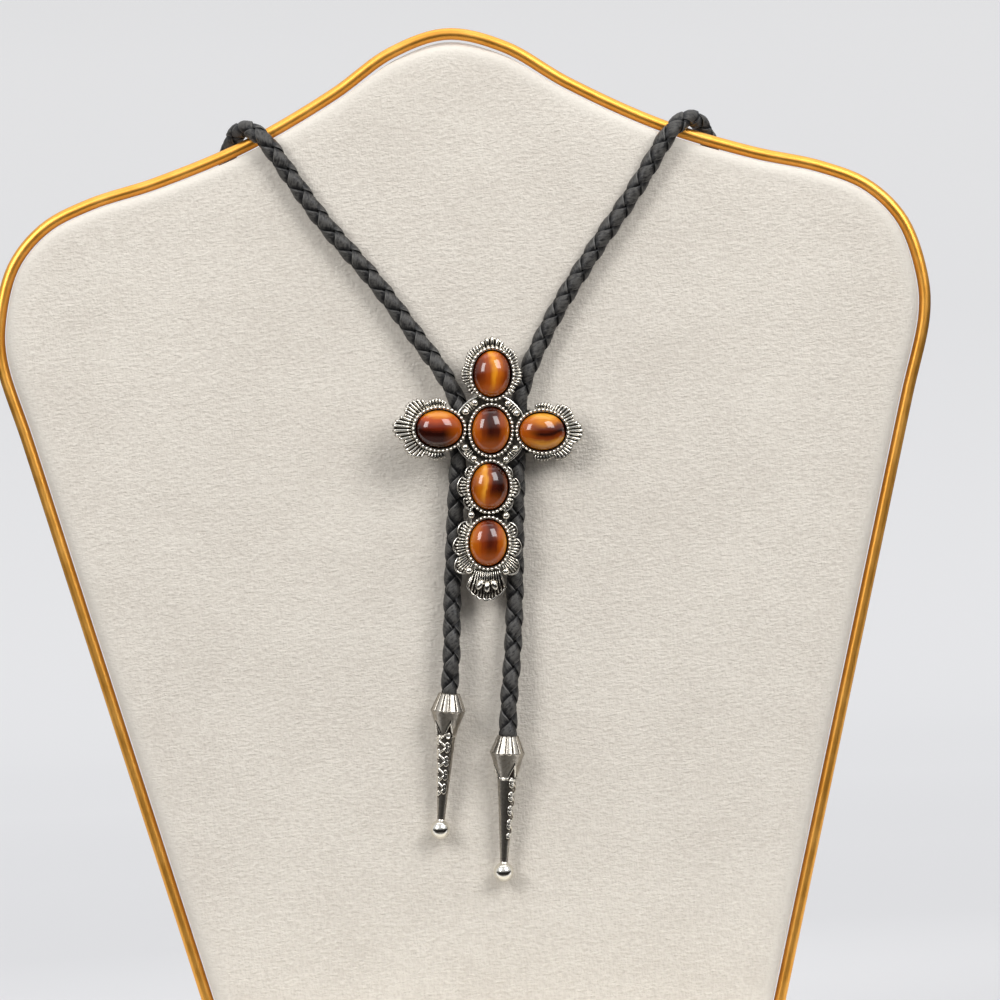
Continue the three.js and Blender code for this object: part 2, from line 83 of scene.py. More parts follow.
def grid_faces(rows, columns, around=True):
    """Four-sided faces of a grid of points, closed around each row if asked."""
    faces = []
    for row in range(rows - 1):
        for c in range(columns if around else columns - 1):
            following = (c + 1) % columns
            low, high = row * columns, (row + 1) * columns
            faces.append((low + c, low + following, high + following, high + c))
    return faces


class Heap:
    """Collects the shapes of one piece: their points, faces and relief."""

    def __init__(self):
        self.points, self.faces, self.relief = [], [], []

    def add(self, points, faces, relief):
        start = len(self.points)
        self.points.extend(np.asarray(points, float).tolist())
        self.faces.extend(tuple(start + i for i in face) for face in faces)
        self.relief.extend(np.broadcast_to(relief, len(points)).tolist())

    def rings(self, rings, relief=1):
        """A skin over rings of points, with its two ends closed."""
        rings = np.asarray(rings, float)
        rows, columns = rings.shape[:2]
        faces = grid_faces(rows, columns)
        faces.append(tuple(range(columns))[::-1])
        faces.append(tuple(range((rows - 1) * columns, rows * columns)))
        self.add(rings.reshape(-1, 3), faces, np.broadcast_to(relief, (rows, columns)).reshape(-1))


# %% Helpers for lines
def smooth_line(points, per_span=12):
    """A smooth line through the points, as a centripetal Catmull-Rom spline."""
    points = [np.array(p, float) for p in points]
    padded = [2 * points[0] - points[1], *points, 2 * points[-1] - points[-2]]
    line = []
    for p0, p1, p2, p3 in zip(padded, padded[1:], padded[2:], padded[3:]):
        steps = ((p0, p1), (p1, p2), (p2, p3))
        d0, d1, d2 = (max(float((b - a) @ (b - a)) ** 0.25, 1e-4) for a, b in steps)
        start = d1 * ((p1 - p0) / d0 - (p2 - p0) / (d0 + d1) + (p2 - p1) / d1)
        end = d1 * ((p2 - p1) / d1 - (p3 - p1) / (d1 + d2) + (p3 - p2) / d2)
        t = np.linspace(0, 1, per_span, endpoint=False)[:, None]
        line.append(p1 + start * t + (3 * (p2 - p1) - 2 * start - end) * t**2
                    + (2 * (p1 - p2) + start + end) * t**3)
    return np.vstack([*line, points[-1][None]])


def read_along(values, along, wanted):
    """The three values of each point of a line, read off at wanted distances along it."""
    return np.stack([np.interp(wanted, along, values[:, k]) for k in range(3)], -1)


def even_line(line, step):
    """The same line with its points one step apart, and the distance of each along it."""
    along = np.r_[0, np.cumsum(np.linalg.norm(np.diff(line, axis=0), axis=1))]
    wanted = np.linspace(0, along[-1], max(int(round(along[-1] / step)), 2) + 1)
    return read_along(line, along, wanted), wanted


def full_turn(steps):
    """Evenly spaced angles round a circle, in radians."""
    return np.linspace(0, 2 * math.pi, steps, endpoint=False)


def unit(vectors):
    vectors = np.asarray(vectors, float)
    return vectors / np.linalg.norm(vectors, axis=-1, keepdims=True)


def carried_frame(line, first):
    """Two directions across the line at each point, carried along it with no twist of their own."""
    tangent = unit(np.gradient(line, axis=0))
    across = [unit(first - tangent[0] * (tangent[0] @ first))]
    for t in tangent[1:]:
        across.append(unit(across[-1] - t * (t @ across[-1])))
    across = np.array(across)
    return across, np.cross(tangent, across)


# %% [markdown]
# ## Camera
# The photograph was taken level with the slide and from so far that the board shows no perspective, so
# the lens is long and one and a half metres away. The board leans three degrees to the left in it. The
# camera is turned instead of the board, which stands upright for every other view. Colours are shown
# plainly, as a catalogue picture shows them.

# %% Place the camera
VIEW_CENTRE = (7.2, -20, 152.4)
VIEW_DISTANCE = 1500
VIEW_WIDTH = 250
VIEW_ROLL = math.radians(3)

camera_data = bpy.data.cameras.new("camera")
camera_data.sensor_width = 36
camera_data.lens = 36 * VIEW_DISTANCE / VIEW_WIDTH
camera_data.clip_end = 20
camera = bpy.data.objects.new("camera", camera_data)
right = Vector((math.cos(VIEW_ROLL), 0, -math.sin(VIEW_ROLL)))
up = Vector((math.sin(VIEW_ROLL), 0, math.cos(VIEW_ROLL)))
turn = Matrix((right, up, right.cross(up))).transposed().to_4x4()
eye = Vector(VIEW_CENTRE) - Vector((0, VIEW_DISTANCE, 0))
camera.matrix_world = Matrix.Translation(eye * MM) @ turn
bpy.context.scene.collection.objects.link(camera)
bpy.context.scene.camera = camera
bpy.context.scene.view_settings.view_transform = "Standard"
print("lens", round(camera_data.lens, 1), "mm, eye at", [round(v) for v in eye])

# %% [markdown]
# ## Colours and material nodes
# Each colour is written as the hex value that a screen shows, and one function turns it to the linear
# value that the renderer needs. Another adds a node with its settings and links.


# %% Helpers for materials
def colour(hex_value):
    channels = [int(hex_value[i:i + 2], 16) / 255 for i in (1, 3, 5)]
    return [c / 12.92 if c <= 0.04045 else ((c + 0.055) / 1.055) ** 2.4 for c in channels] + [1]


def add(tree, kind, inputs=None, output=0, **settings):
    """Adds a node and gives back an output. An input given a socket is linked, and any other is set."""
    node = tree.nodes.new("ShaderNode" + kind)
    for name, value in settings.items():
        setattr(node, name, value)
    for key, value in (inputs or {}).items():
        if isinstance(value, bpy.types.NodeSocket):
            tree.links.new(value, node.inputs[key])
        else:
            node.inputs[key].default_value = value
    return node.outputs[output] if node.outputs else None


def new_material(name):
    made = bpy.data.materials.new(name)
    made.use_nodes = True
    made.node_tree.nodes.clear()
    return made, made.node_tree


def finished(made, inputs, bump=None, strength=1, depth_mm=0):
    """The material with a surface shader and an optional bump, linked to its output."""
    tree = made.node_tree
    if bump is not None:
        raised = {"Height": bump, "Strength": strength, "Distance": depth_mm * MM}
        inputs = {**inputs, "Normal": add(tree, "Bump", raised)}
    add(tree, "OutputMaterial", {"Surface": add(tree, "BsdfPrincipled", inputs)})
    return made


def ramp(tree, factor, stops, interpolation="LINEAR"):
    """A run of colours over a factor from 0 to 1: each stop is a position and a hex colour."""
    tone = add(tree, "ValToRGB", {"Fac": factor})
    tone.node.color_ramp.interpolation = interpolation
    elements = tone.node.color_ramp.elements
    while len(elements) < len(stops):
        elements.new(0.5)
    for element, (position, hex_value) in zip(elements, stops):
        element.position = position
        element.color = colour(hex_value)
    return tone


def in_millimetres(tree, stretch=(1, 1, 1)):
    """The object's own coordinates in millimetres, stretched where a pattern is longer one way."""
    place = add(tree, "TexCoord", output="Object")
    return add(tree, "Mapping", {"Vector": place, "Scale": [1 / MM / s for s in stretch]})


# %% [markdown]
# ## The route of the cord
# The cord leaves the left tip, passes behind the slide, crosses the rim at the left shoulder, hangs
# behind the board as one long U and comes back over the right shoulder. It is limp leather and has no bend
# tighter than two of its own diameters.

# %% Cord route in millimetres
CORD_DIAMETER = 4.7
CORD_LEFT = [(-8.07, -9.87, 104.8), (-7.1, -10.3, 113), (-6.5, -9.6, 122), (-5.7, -8.6, 133),
             (-4.6, -8.6, 145), (-3.5, -9.8, 156), (-2.57, -10.33, 165), (-1.8, -10.33, 176),
             (-4.8, -9.7, 183.8), (-11, -8.1, 193.6), (-21.1, -7.45, 208.7), (-33.6, -7.45, 224.8),
             (-40.4, -7.45, 235.3)]
CORD_BACK = [(-58.2, 6.45, 225), (-58.5, 6.45, 195), (-58, 6.45, 150), (-55.5, 6.45, 105), (-47, 6.45, 70),
             (-28, 6.45, 44.5), (4, 6.45, 33), (36, 6.45, 44.5), (55, 6.45, 70), (63.5, 6.45, 105),
             (66.5, 6.45, 150), (67.2, 6.45, 195), (66.6, 6.45, 223)]
CORD_RIGHT = [(47.9, -7.45, 232.6), (43.2, -7.45, 225.9), (35.8, -7.45, 216.2), (25.4, -7.45, 201.5),
              (19.3, -7.6, 191.3), (14.8, -8.2, 182), (12.93, -8.52, 175), (12.1, -8.52, 164),
              (11.2, -8.1, 151), (10.3, -7.8, 138), (9.5, -8.1, 126), (8.4, -9.1, 114),
              (6.8, -10.3, 101.6), (6.12, -9.87, 93.4)]
BEND_LEFT = [(-45.4, -7.45, 243.4), (-0.53, 0, 0.85), (-0.47, 0.88, 0), (-0.1, 0, -1)]
BEND_RIGHT = [(53.1, -7.45, 240.5), (0.56, 0, 0.83), (0.47, 0.88, 0), (0.1, 0, -1)]
BEND_STEPS = 4
BEND_RADIUS = 2 * CORD_DIAMETER
LINE_STEP = 0.4


def bend_points(start, *ways):
    """Points along arcs of the smallest bend, one arc between each way and the next."""
    ways = [unit(way) for way in ways]
    points = [np.array(start, float)]
    for way, following in zip(ways, ways[1:]):
        turned = math.acos(way @ following)
        inwards = unit(following - way * math.cos(turned))
        first = points[-1]
        for i in range(1, BEND_STEPS + 1):
            angle = turned * i / BEND_STEPS
            points.append(first + BEND_RADIUS * (math.sin(angle) * way + (1 - math.cos(angle)) * inwards))
    return points


route = [*CORD_LEFT, *bend_points(*BEND_LEFT), *CORD_BACK, *bend_points(*BEND_RIGHT)[::-1], *CORD_RIGHT]
cord_line, cord_along = even_line(smooth_line(route), LINE_STEP)

# %% [markdown]
# ## Cowhide
# The laces are full-grain cowhide, dyed black and waxed, which gives a broad grey shine over near-black.
# The grain is a net of creases about 0.3 mm apart. It is drawn half a millimetre apart, because it would
# be too fine to show, and longer along the lace, which was pulled tight. The near-black in the grooves and
# where a lace passes under the next is painted shade, and the paler grey along one raised edge of each
# lace is a painted highlight.


# %% Dyed cowhide material
def waxed_cowhide():
    made, tree = new_material("waxed cowhide")
    relief = add(tree, "Attribute", output="Fac", attribute_name="relief")
    lace = add(tree, "Attribute", output="Vector", attribute_name="spots")
    drawn = add(tree, "Mapping", {"Vector": lace, "Scale": (1 / 0.5, 1 / 1.6, 1)})
    grain = add(tree, "TexNoise", {"Vector": drawn, "Scale": 1, "Detail": 4, "Roughness": 0.7})
    worn = add(tree, "TexNoise", {"Vector": in_millimetres(tree), "Scale": 0.5, "Detail": 3})
    # Grain, wear and painted light: relief darkens grooves and crossings as painted shade and lifts the
    # crests
    grain_wear_and_painted_light = add(tree, "Math", {0: grain, 1: 1.1, 2: relief}, operation="MULTIPLY_ADD")
    grain_wear_and_painted_light = add(tree, "Math", {0: worn, 1: 0.2, 2: grain_wear_and_painted_light}, operation="MULTIPLY_ADD")
    grain_wear_and_painted_light = add(tree, "Math", {0: grain_wear_and_painted_light, 1: 0.35}, operation="SUBTRACT")
    skin = ramp(tree, grain_wear_and_painted_light, [(0.35, "#030303"), (0.62, "#0a0a0b"), (0.82, "#1c1b1b"), (1.0, "#4a4845")])
    # Painted highlight: a paler grey on the raised lace edge whose relief is near 1
    edge = add(tree, "MapRange", {"Value": relief, "From Min": 0.88})
    tone = add(tree, "Mix", {"Factor": edge, "A": skin, "B": colour("#75736f")}, "Result", data_type="RGBA")
    polish = {"Value": grain, "From Min": 0.35, "From Max": 0.65, "To Min": 0.3, "To Max": 0.62}
    rough = add(tree, "MapRange", polish)
    return finished(made, {"Base Color": tone, "Roughness": rough, "IOR": 1.48, "Specular IOR Level": 0.38},
                    grain, strength=0.9, depth_mm=0.15)


cowhide = waxed_cowhide()

# %% [markdown]
# ## The braid
# A round four-strand braid has two laces that climb to the right and two that climb to the left, each
# over one and under the next. They stand nearly half a millimetre proud and their edges throw shadows, so
# each one is built. The numbers p and q count quarter turns along the two families. A lace keeps one of
# them and runs along the other, so its edges follow its neighbours exactly. Behind the board the braid
# turns a little, so that the same side faces the viewer on both fronts.

# %% Braid the four laces
BRAID_PITCH = 13
LACE_THICKNESS = 0.9
LACE_DIP = 0.44
LACE_ROWS = 7
FACING = math.radians(14)
# Across a lace: place from edge to edge, height from its underside (-1) to its top (1), and relief
# Relief is painted light: low values give painted shade, and 1 on one raised edge a painted highlight
LACE_SECTION = [(-0.46, -0.5, 0), (-0.455, 0.3, 0.2), (-0.42, 0.72, 1), (-0.36, 0.86, 0.66), (-0.14, 1, 0.66),
                (0.14, 1, 0.66), (0.36, 0.86, 0.66), (0.42, 0.72, 0.75), (0.455, 0.3, 0.2), (0.46, -0.5, 0),
                (0.25, -1, 0), (-0.25, -1, 0)]
# The cord goes a little way into the mouths of its tips, and it is bunched where it enters the right one
INTO_TIP = 0.6
BUNCHED = 0.17
BUNCH_LENGTH = 2
cord_line[0] += INTO_TIP * unit(cord_line[0] - cord_line[1])
cord_line[-1] += INTO_TIP * unit(cord_line[-1] - cord_line[-2])

outwards, sideways = carried_frame(cord_line, (0, -1, 0))
last_turn = math.atan2(-sideways[-1][1], -outwards[-1][1])
# The turn is made in the middle half of the cord, which is hidden
share = np.clip((cord_along / cord_along[-1] - 0.25) / 0.5, 0, 1)
turned = FACING + (last_turn - 2 * FACING) * share**2 * (3 - 2 * share)
cosine, sine = np.cos(turned)[:, None], np.sin(turned)[:, None]
outwards, sideways = outwards * cosine + sideways * sine, sideways * cosine - outwards * sine
bunched = 1 + BUNCHED * np.exp(-((cord_along[-1] - cord_along) / BUNCH_LENGTH) ** 2)

heap = Heap()
lace_spots = []
quarter = BRAID_PITCH / 4
place_u, height_u, relief_u = np.array(LACE_SECTION).T
middle = CORD_DIAMETER / 2 - LACE_THICKNESS / 2 - LACE_DIP
for family in (1, -1):
    for lace in (0, 1):
        cells = int(cord_along[-1] / quarter) + 3
        runs = np.linspace(-1, cells, (cells + 1) * LACE_ROWS + 1)[:, None] + lace
        if family == 1:
            p, q = np.broadcast_arrays(runs, lace + place_u[None])
            over = np.cos(math.pi * (runs + lace))
        else:
            p, q = np.broadcast_arrays(lace + place_u[None], lace - runs)
            over = -np.cos(math.pi * (lace - runs + lace))
        along = (p - q) * quarter
        angle = math.pi * (p + q) / 2
        spot = np.clip(along, 0, cord_along[-1])
        radius = middle + over * LACE_DIP + height_u * LACE_THICKNESS / 2
        radius = radius * np.interp(spot, cord_along, bunched)
        centre, out, side = (read_along(a, cord_along, spot) for a in (cord_line, outwards, sideways))
        way_out = np.cos(angle)[..., None] * out + np.sin(angle)[..., None] * side
        points = centre + radius[..., None] * way_out
        # Painted shade: where a lace dips under its neighbour its relief drops, so the leather is painted
        # dark
        shown = np.clip(0.5 + 0.75 * over, 0, 1) * relief_u
        inside = (along.max(1) > 0) & (along.min(1) < cord_along[-1])
        heap.rings(points[inside], shown[inside])
        # Spots on the flat lace, so that the grain follows it, with the four laces far apart
        length_along = np.broadcast_to(runs * quarter * math.sqrt(2), p.shape)
        across = np.broadcast_to(place_u[None] * quarter * math.sqrt(2), p.shape)
        apart = np.full(p.shape, 10.0 * (lace + 2 * (family == 1)))
        lace_spots.append(np.stack([across + apart, length_along, apart], -1)[inside].reshape(-1, 3))

braid = piece("braided_cord", heap, cowhide, heap.relief, spots=np.vstack(lace_spots))
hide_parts("cord")
print("braid faces", len(heap.faces), "turned by", round(math.degrees(turned[-1])), "degrees in all")

# %% [markdown]
# ## The rim and the pad's outline
# The rim is one rod bent to the outline of a bust: a smooth curve through shares of the board's half
# width and height, the same on both sides.

# %% Rim line
RIM_HALF_WIDTH = 117
RIM_HEIGHT = 271
ROD_DIAMETER = 3
ROD_FOOT = 1.4
RIM_STEP = 2
RIM = [(0, 1), (0.124, 0.985), (0.253, 0.949), (0.45, 0.905), (0.645, 0.875), (0.793, 0.858),
       (0.893, 0.838), (0.964, 0.804), (1, 0.751), (1, 0.715), (0.953, 0.64), (0.867, 0.5), (0.621, 0.1)]

half = [np.array((across * RIM_HALF_WIDTH, 0, height * RIM_HEIGHT)) for across, height in RIM]
half.append(half[-2] + (half[-1] - half[-2]) * (half[-2][2] - ROD_FOOT) / (half[-2][2] - half[-1][2]))
rim_points = [p * (-1, 1, 1) for p in half[:0:-1]] + half
rim_line, rim_along = even_line(smooth_line(rim_points), RIM_STEP)
print("rim rod length", round(float(rim_along[-1])), "mm")

# %% [markdown]
# ## Gilt steel
# The rod is steel, plated with a thin gold-coloured layer of brass over nickel under clear lacquer. Plating
# copies the drawn steel below it, and the lacquer's haze blurs its reflections a little.


# %% Gilt steel material
def gilt_steel():
    made, tree = new_material("gilt steel")
    haze = add(tree, "TexNoise", {"Vector": in_millimetres(tree), "Scale": 0.15, "Detail": 3})
    tone = ramp(tree, haze, [(0.3, "#eaa444"), (0.7, "#f4b558")])
    polish = {"Value": haze, "From Min": 0.3, "From Max": 0.7, "To Min": 0.36, "To Max": 0.44}
    rough = add(tree, "MapRange", polish)
    return finished(made, {"Base Color": tone, "Metallic": 1, "Roughness": rough})


gilt = gilt_steel()

# %% Bend the rod
ROD_SIDES = 20
out, side = carried_frame(rim_line, (0, -1, 0))
turns = full_turn(ROD_SIDES)
cosine, sine = np.cos(turns)[:, None], np.sin(turns)[:, None]
heap = Heap()
heap.rings(rim_line[:, None] + ROD_DIAMETER / 2 * (cosine * out[:, None] + sine * side[:, None]))
rod = piece("bent_rim", heap, gilt)
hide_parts("rim_rod")
print("rod faces", len(heap.faces))

# %% [markdown]
# ## The foot
# A flat plate carries the rod. It is below the photograph's edge, so it is kept plain: a rounded plate
# with softened edges. The mirror-bright balls above it show something pale and no gold, so it is painted.
# Sprayed ivory paint dries with a satin gloss and a faint orange-peel ripple about two millimetres long.


# %% Ivory paint material
def ivory_paint():
    made, tree = new_material("ivory paint")
    place = in_millimetres(tree, (2, 2, 2))
    ripple = add(tree, "TexNoise", {"Vector": place, "Scale": 1, "Detail": 2})
    tone = ramp(tree, ripple, [(0.3, "#ddd8cd"), (0.7, "#e3dfd5")])
    return finished(made, {"Base Color": tone, "Roughness": 0.42, "IOR": 1.5}, ripple, 0.2, depth_mm=0.1)


painted = ivory_paint()

# %% Foot plate
FOOT_SIZE = (164, 96, 4)
FOOT_CORNER = 22
EDGE_RADIUS = 0.8


def rounded_outline(width, depth, corner, steps=24):
    """Points round a rectangle with rounded corners."""
    outline = []
    for quadrant, (sx, sy) in enumerate(((1, 1), (-1, 1), (-1, -1), (1, -1))):
        for angle in math.pi / 2 * (quadrant + np.linspace(0, 1, steps + 1)):
            outline.append((sx * (width / 2 - corner) + corner * math.cos(angle),
                            sy * (depth / 2 - corner) + corner * math.sin(angle)))
    return np.array(outline)


heap = Heap()
quarter_arc = np.linspace(0, math.pi / 2, 6)
edge = [(EDGE_RADIUS * (1 - math.sin(a)), EDGE_RADIUS * (1 - math.cos(a))) for a in quarter_arc]
rings = []
for inset, height in edge + [(inset, FOOT_SIZE[2] - height) for inset, height in edge[::-1]]:
    flat = rounded_outline(FOOT_SIZE[0] - 2 * inset, FOOT_SIZE[1] - 2 * inset, FOOT_CORNER - inset)
    rings.append(np.c_[flat, np.full(len(flat), height)])
heap.rings(rings)
foot = piece("foot_plate", heap, painted)
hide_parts("stand_foot")
print("foot", FOOT_SIZE, "mm")

# %% [markdown]
# ## Velveteen
# The cover is off-white velveteen: short cotton pile that stands up from the cloth and scatters light at
# its edges, with a soft sheen and almost no shine. Pressing has laid it over in short, level strokes about
# half a millimetre high and one and a half wide. Round the edge the cloth is stretched and more even, and
# its flat tone there is a little darker, as painted shade against the light on the rounded edge.


# %% Velveteen material
def velveteen():
    made, tree = new_material("velveteen")
    # Level strokes, upright strokes and wide patches: stretch in millimetres, detail and roughness
    layers = (((1.4, 1.4, 0.6), 3, 0.6), ((0.6, 0.6, 1.6), 2, 0.5), ((30, 30, 20), 2, 0.5))
    strokes, crushed, patches = (
        add(tree, "TexNoise", {"Vector": in_millimetres(tree, stretch), "Scale": 1, "Detail": detail,
                               "Roughness": roughness}) for stretch, detail, roughness in layers)
    edge_stretch_and_shade = add(tree, "Attribute", output="Fac", attribute_name="relief")
    pile = add(tree, "Math", {0: crushed, 1: 0.6, 2: strokes}, operation="MULTIPLY_ADD")
    loose = add(tree, "Math", {0: 1.0, 1: edge_stretch_and_shade}, operation="SUBTRACT")
    pressed = add(tree, "Math", {0: pile, 1: loose}, operation="MULTIPLY")
    shade = add(tree, "Math", {0: patches, 1: 0.5, 2: pile}, operation="MULTIPLY_ADD")
    shade = add(tree, "MapRange", {"Value": shade, "From Min": 0.7, "From Max": 1.4})
    cloth = ramp(tree, shade, [(0.2, "#cdc5ba"), (0.8, "#dbd4c9")])
    # At the edge the flat, slightly darker tone is painted shade against the light on the rounded edge
    mixed = {"Factor": edge_stretch_and_shade, "A": cloth, "B": colour("#cec8be")}
    tone = add(tree, "Mix", mixed, "Result", data_type="RGBA")
    return finished(made, {"Base Color": tone, "Roughness": 0.9, "IOR": 1.45, "Specular IOR Level": 0.2,
                           "Sheen Weight": 0.3, "Sheen Roughness": 0.4}, pressed, strength=1, depth_mm=0.34)


velvet = velveteen()

# %% [markdown]
# ## The padded board
# A thin sheet of foam rounds the front edge over, and the cloth is pulled tight round the back. Tight
# cloth on a flat board has no folds to simulate, so the board is built from outlines that step in from the
# rim and rise to the front, with a slight unevenness pressed into the foam.

# %% Build the pad
PAD_BACK = 3.8
PAD_FRONT = -4.8
PAD_CLEARANCE = ROD_DIAMETER / 2 + 0.3
PAD_FLOOR = 4.3
# Steps from the pad's edge inwards, in millimetres, and the depth of each below the front face
PAD_EDGE = [(0, 3.6), (0.06, 3.0), (0.25, 2.3), (0.6, 1.7), (1.1, 1.15), (1.8, 0.72), (2.8, 0.42), (4.2, 0.2),
            (6, 0.07), (8.5, 0)]
PAD_EDGE_BACK = [(0.6, 0), (0.15, 0.15), (0, 0.6)]
LEG_POINTS = 14
CROWN_GAP = 1.1
CROWN_SPREAD = 18
INNER_RINGS = 36


def pad_outline(inset, gap_at_crown=0):
    """The rim's line moved inwards, with a level lower edge above the foot and a small gap at the crown."""
    tangent = unit(np.gradient(rim_line, axis=0))
    near_crown = np.exp(-(rim_line[:, :1] / CROWN_SPREAD) ** 2) * (rim_line[:, 2:] > RIM_HEIGHT / 2)
    inwards = np.c_[tangent[:, 2], -tangent[:, 0]]
    moved = rim_line[:, [0, 2]] + inwards * (inset + gap_at_crown * near_crown)
    floor = PAD_FLOOR + inset - PAD_CLEARANCE
    inner = moved[LEG_POINTS:-LEG_POINTS]
    corners = []
    for low, high in ((moved[0], inner[0]), (moved[-1], inner[-1])):
        corners.append(low + (high - low) * (floor - low[1]) / (high[1] - low[1]))
    steps = [np.linspace(a, b, n) for a, b, n in
             ((corners[0], inner[0], 7), (inner[-1], corners[1], 7), (corners[1], corners[0], 41))]
    return np.vstack([steps[0][:-1], inner, steps[1][1:], steps[2][1:-1]])


outlines = [(pad_outline(PAD_CLEARANCE + inset), PAD_BACK - depth) for inset, depth in PAD_EDGE_BACK]
outlines += [(pad_outline(PAD_CLEARANCE + inset, CROWN_GAP), PAD_FRONT + depth) for inset, depth in PAD_EDGE]
last = outlines[-1][0]
middle = np.array((0, 150.0))
outlines += [(middle + (last - middle) * (1 - k / INNER_RINGS), PAD_FRONT) for k in range(1, INNER_RINGS)]
rings = [np.c_[flat[:, 0], np.full(len(flat), y), flat[:, 1]] for flat, y in outlines]
heap = Heap()
heap.rings(rings)
heap.points = points = np.array(heap.points)
front = points[:, 1] < PAD_FRONT + 0.3
x, z = points[front, 0], points[front, 2]
wave = 0.06 * (np.sin(x / 11 + 1) * np.sin(z / 17) + np.sin(x / 29 + z / 23))
points[front, 1] += np.maximum(wave, -0.1) + 0.1
# Share of the edge tone for each outline: smoother stretched cloth, and painted shade on the edge
edge_stretch_and_shade = [0.6, 0.6, 0.7] + [max(0.75 - inset / 7, 0) for inset, _ in PAD_EDGE] + [0] * (INNER_RINGS - 1)
pad = piece("velvet_board", heap, velvet, np.repeat(edge_stretch_and_shade, len(last)))
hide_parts("display_pad")
print("pad faces", len(heap.faces), "from", np.round(points.min(0), 1), "to", np.round(points.max(0), 1))

# %% [markdown]
# ## Antiqued silver plate
# Slide and tips are castings in a white alloy, plated with silver, dipped in a black sulphide and then
# tumbled bright. The black stays in the grooves and wears off every crest. The relief number of each point
# mixes the two, with a little noise so that the edge of the black isn't even.


# %% Antiqued silver material
def antiqued_silver():
    made, tree = new_material("antiqued silver plate")
    relief = add(tree, "Attribute", output="Fac", attribute_name="relief")
    uneven = add(tree, "TexNoise", {"Vector": in_millimetres(tree), "Scale": 1.6, "Detail": 4})
    shift = add(tree, "Math", {0: uneven, 1: 0.3, 2: -0.15}, operation="MULTIPLY_ADD")
    height = add(tree, "Math", {0: relief, 1: shift}, operation="ADD")
    tone = ramp(tree, height, [(0.1, "#2a2421"), (0.35, "#7a746b"), (0.6, "#cfc9be"), (1.0, "#ece8de")])
    polish = {"Value": height, "From Min": 0.1, "From Max": 0.7, "To Min": 0.5, "To Max": 0.16}
    rough = add(tree, "MapRange", polish)
    return finished(made, {"Base Color": tone, "Metallic": 1, "Roughness": rough}, uneven, 0.12, 0.05)


silver = antiqued_silver()

# %% [markdown]
# ## Layout of the slide
# Six oval cups stand on a cross-shaped plate. Fans of rounded ribs spread from the outer cups like shells,
# and a larger shell hangs below the last one. Each fan's bearings count from the way that its arm points.

# %% Slide measures in millimetres
PLATE = 1.0
STONE = (9.5, 11.7, 4.4)
CUP_WALL = 0.7
CUP_HEIGHT = 3.1
CUP_WIDE = STONE[0] / 2 + 0.3 + CUP_WALL
CUP_LONG = STONE[1] / 2 + 0.3 + CUP_WALL
STEP_UP = 2 * CUP_LONG + 0.45
STEP_ACROSS = CUP_WIDE + CUP_LONG + 0.45
RIB_BASE = PLATE - 0.1
RIB_TOP = 1.9
RIB_SHARE = 0.84
FAN_REACH = 4.1
HUB_RADIUS = 9.3
BEADS = 36
CUPS = {"centre": (0, 0, 90, False), "top": (0, STEP_UP, 90, False), "right": (STEP_ACROSS, 0, 0, True),
        "left": (-STEP_ACROSS, 0, 180, True), "stem": (0, -STEP_UP, -90, False),
        "foot": (0, -2 * STEP_UP, -90, False)}
# A fan: bearings from and to, reach as a share of FAN_REACH, number of ribs, on both sides of the arm
FANS = {
    "top": [(-22, 22, 0.65, 5, False), (22, 70, 0.5, 8, True), (70, 114, 0.52, 7, True),
            (116, 139, 0.32, 3, True)],
    "side": [(-19, 19, 1, 6, False), (19, 62, 0.79, 7, True), (62, 106, 0.45, 7, True)],
    "stem": [(34, 64, 0.4, 4, True), (69, 109, 0.55, 6, True), (114, 138, 0.28, 3, True)],
    "foot": [(33, 62, 1.08, 7, True), (65, 100, 0.74, 6, True), (103, 134, 0.61, 5, True)],
}
FANS["right"] = FANS["side"]
FANS["left"] = [(start, end, reach * 1.2, *rest) for start, end, reach, *rest in FANS["side"]]
GRAINS = [("centre", 0.446, 0.737), ("centre", 0.688, 0.48), ("centre", 0.683, -0.47),
          ("centre", 0.43, -0.774), ("stem", 0.468, -0.769), ("foot", 0.495, -0.753)]
SLIDE_MIDDLE = Vector((5.5, -12.056, 170))
slide_place = Matrix.Translation(SLIDE_MIDDLE * MM)
for degrees, axis in ((4.3, "Y"), (7, "Z"), (90, "X")):
    slide_place = slide_place @ Matrix.Rotation(math.radians(degrees), 4, axis)


def cup_radius(cup, bearing):
    """Distance from a cup's middle to its outer wall, at a bearing in radians."""
    a, b = (CUP_LONG, CUP_WIDE) if CUPS[cup][3] else (CUP_WIDE, CUP_LONG)
    return 1 / np.hypot(np.cos(bearing) / a, np.sin(bearing) / b)


def oval(cup, inset, height, sides=72):
    """A ring of points round a cup, a distance inside its outer wall."""
    x, y, _, across = CUPS[cup]
    a, b = (CUP_LONG, CUP_WIDE) if across else (CUP_WIDE, CUP_LONG)
    turns = full_turn(sides)
    return np.c_[x + (a - inset) * np.cos(turns), y + (b - inset) * np.sin(turns), np.full(sides, height)]


# %% [markdown]
# ## Ribs, cups and beads
# A rib is a long loaf: a skin of half rings that shrink to nothing at both ends. Beads sit on each cup's
# edge, as a setter rolls them with a beading wheel, about one millimetre apart.


# %% Shapes of the casting
LOAF_STEPS = 8
LOAF_ARC = 7
BEVEL = 0.16


